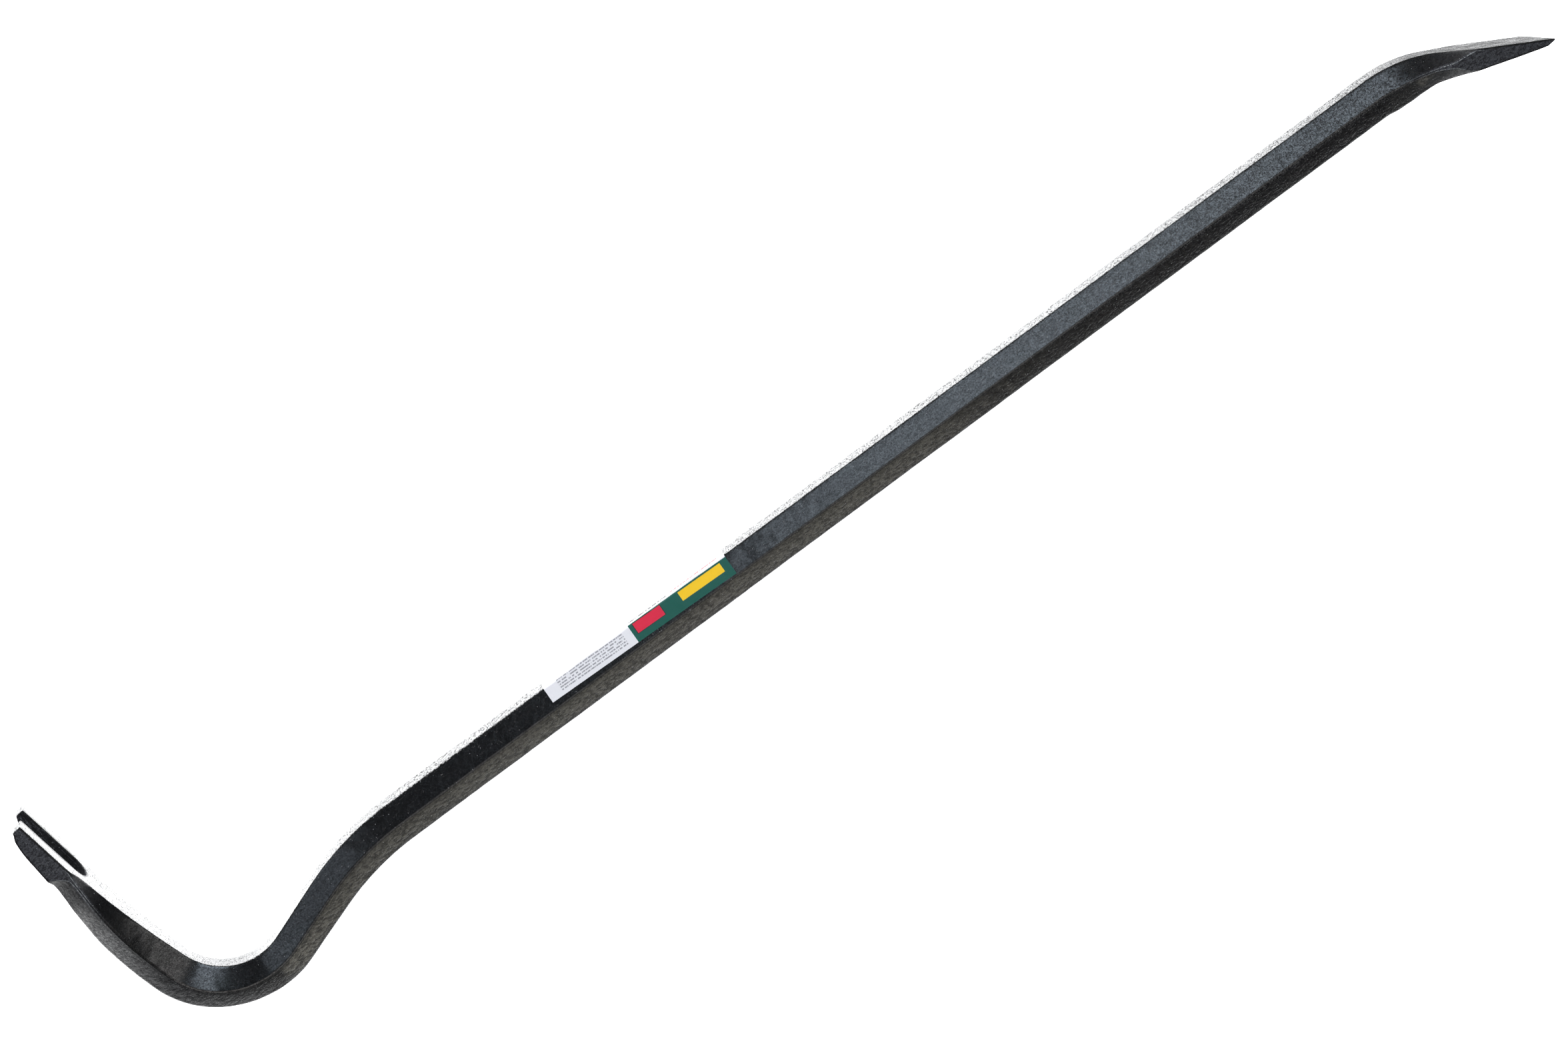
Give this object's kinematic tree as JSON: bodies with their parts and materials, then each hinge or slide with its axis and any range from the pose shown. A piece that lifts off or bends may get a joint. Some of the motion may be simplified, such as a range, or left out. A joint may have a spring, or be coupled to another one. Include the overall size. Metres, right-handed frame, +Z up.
{
  "type": "wrecking bar",
  "caption": "Forged gooseneck wrecking bar of six-sided stock, with a slotted nail claw at one end and a bent chisel blade at the other, and a paper label round its shaft.",
  "frame": {"origin": "on the surface that the bar lies on, under the middle of its outline seen from above", "axes": "+X along the straight shaft towards the chisel blade, +Y towards the side that the claw curls to, +Z up across the bar's width, from the trimmed sides that it lies on"},
  "size_m": [0.9172, 0.1594, 0.04],
  "materials": {
    "black_paint": "thin black paint over a forged steel surface, semi-gloss, worn to bare ground steel at the claw's tips and the blade's edge",
    "label_paper": "self-adhesive printed paper, satin, one half white and one half dark green"
  },
  "bodies": {
    "root": {"forged_bar": "black_paint", "label": "label_paper"}
  },
  "joints": []
}
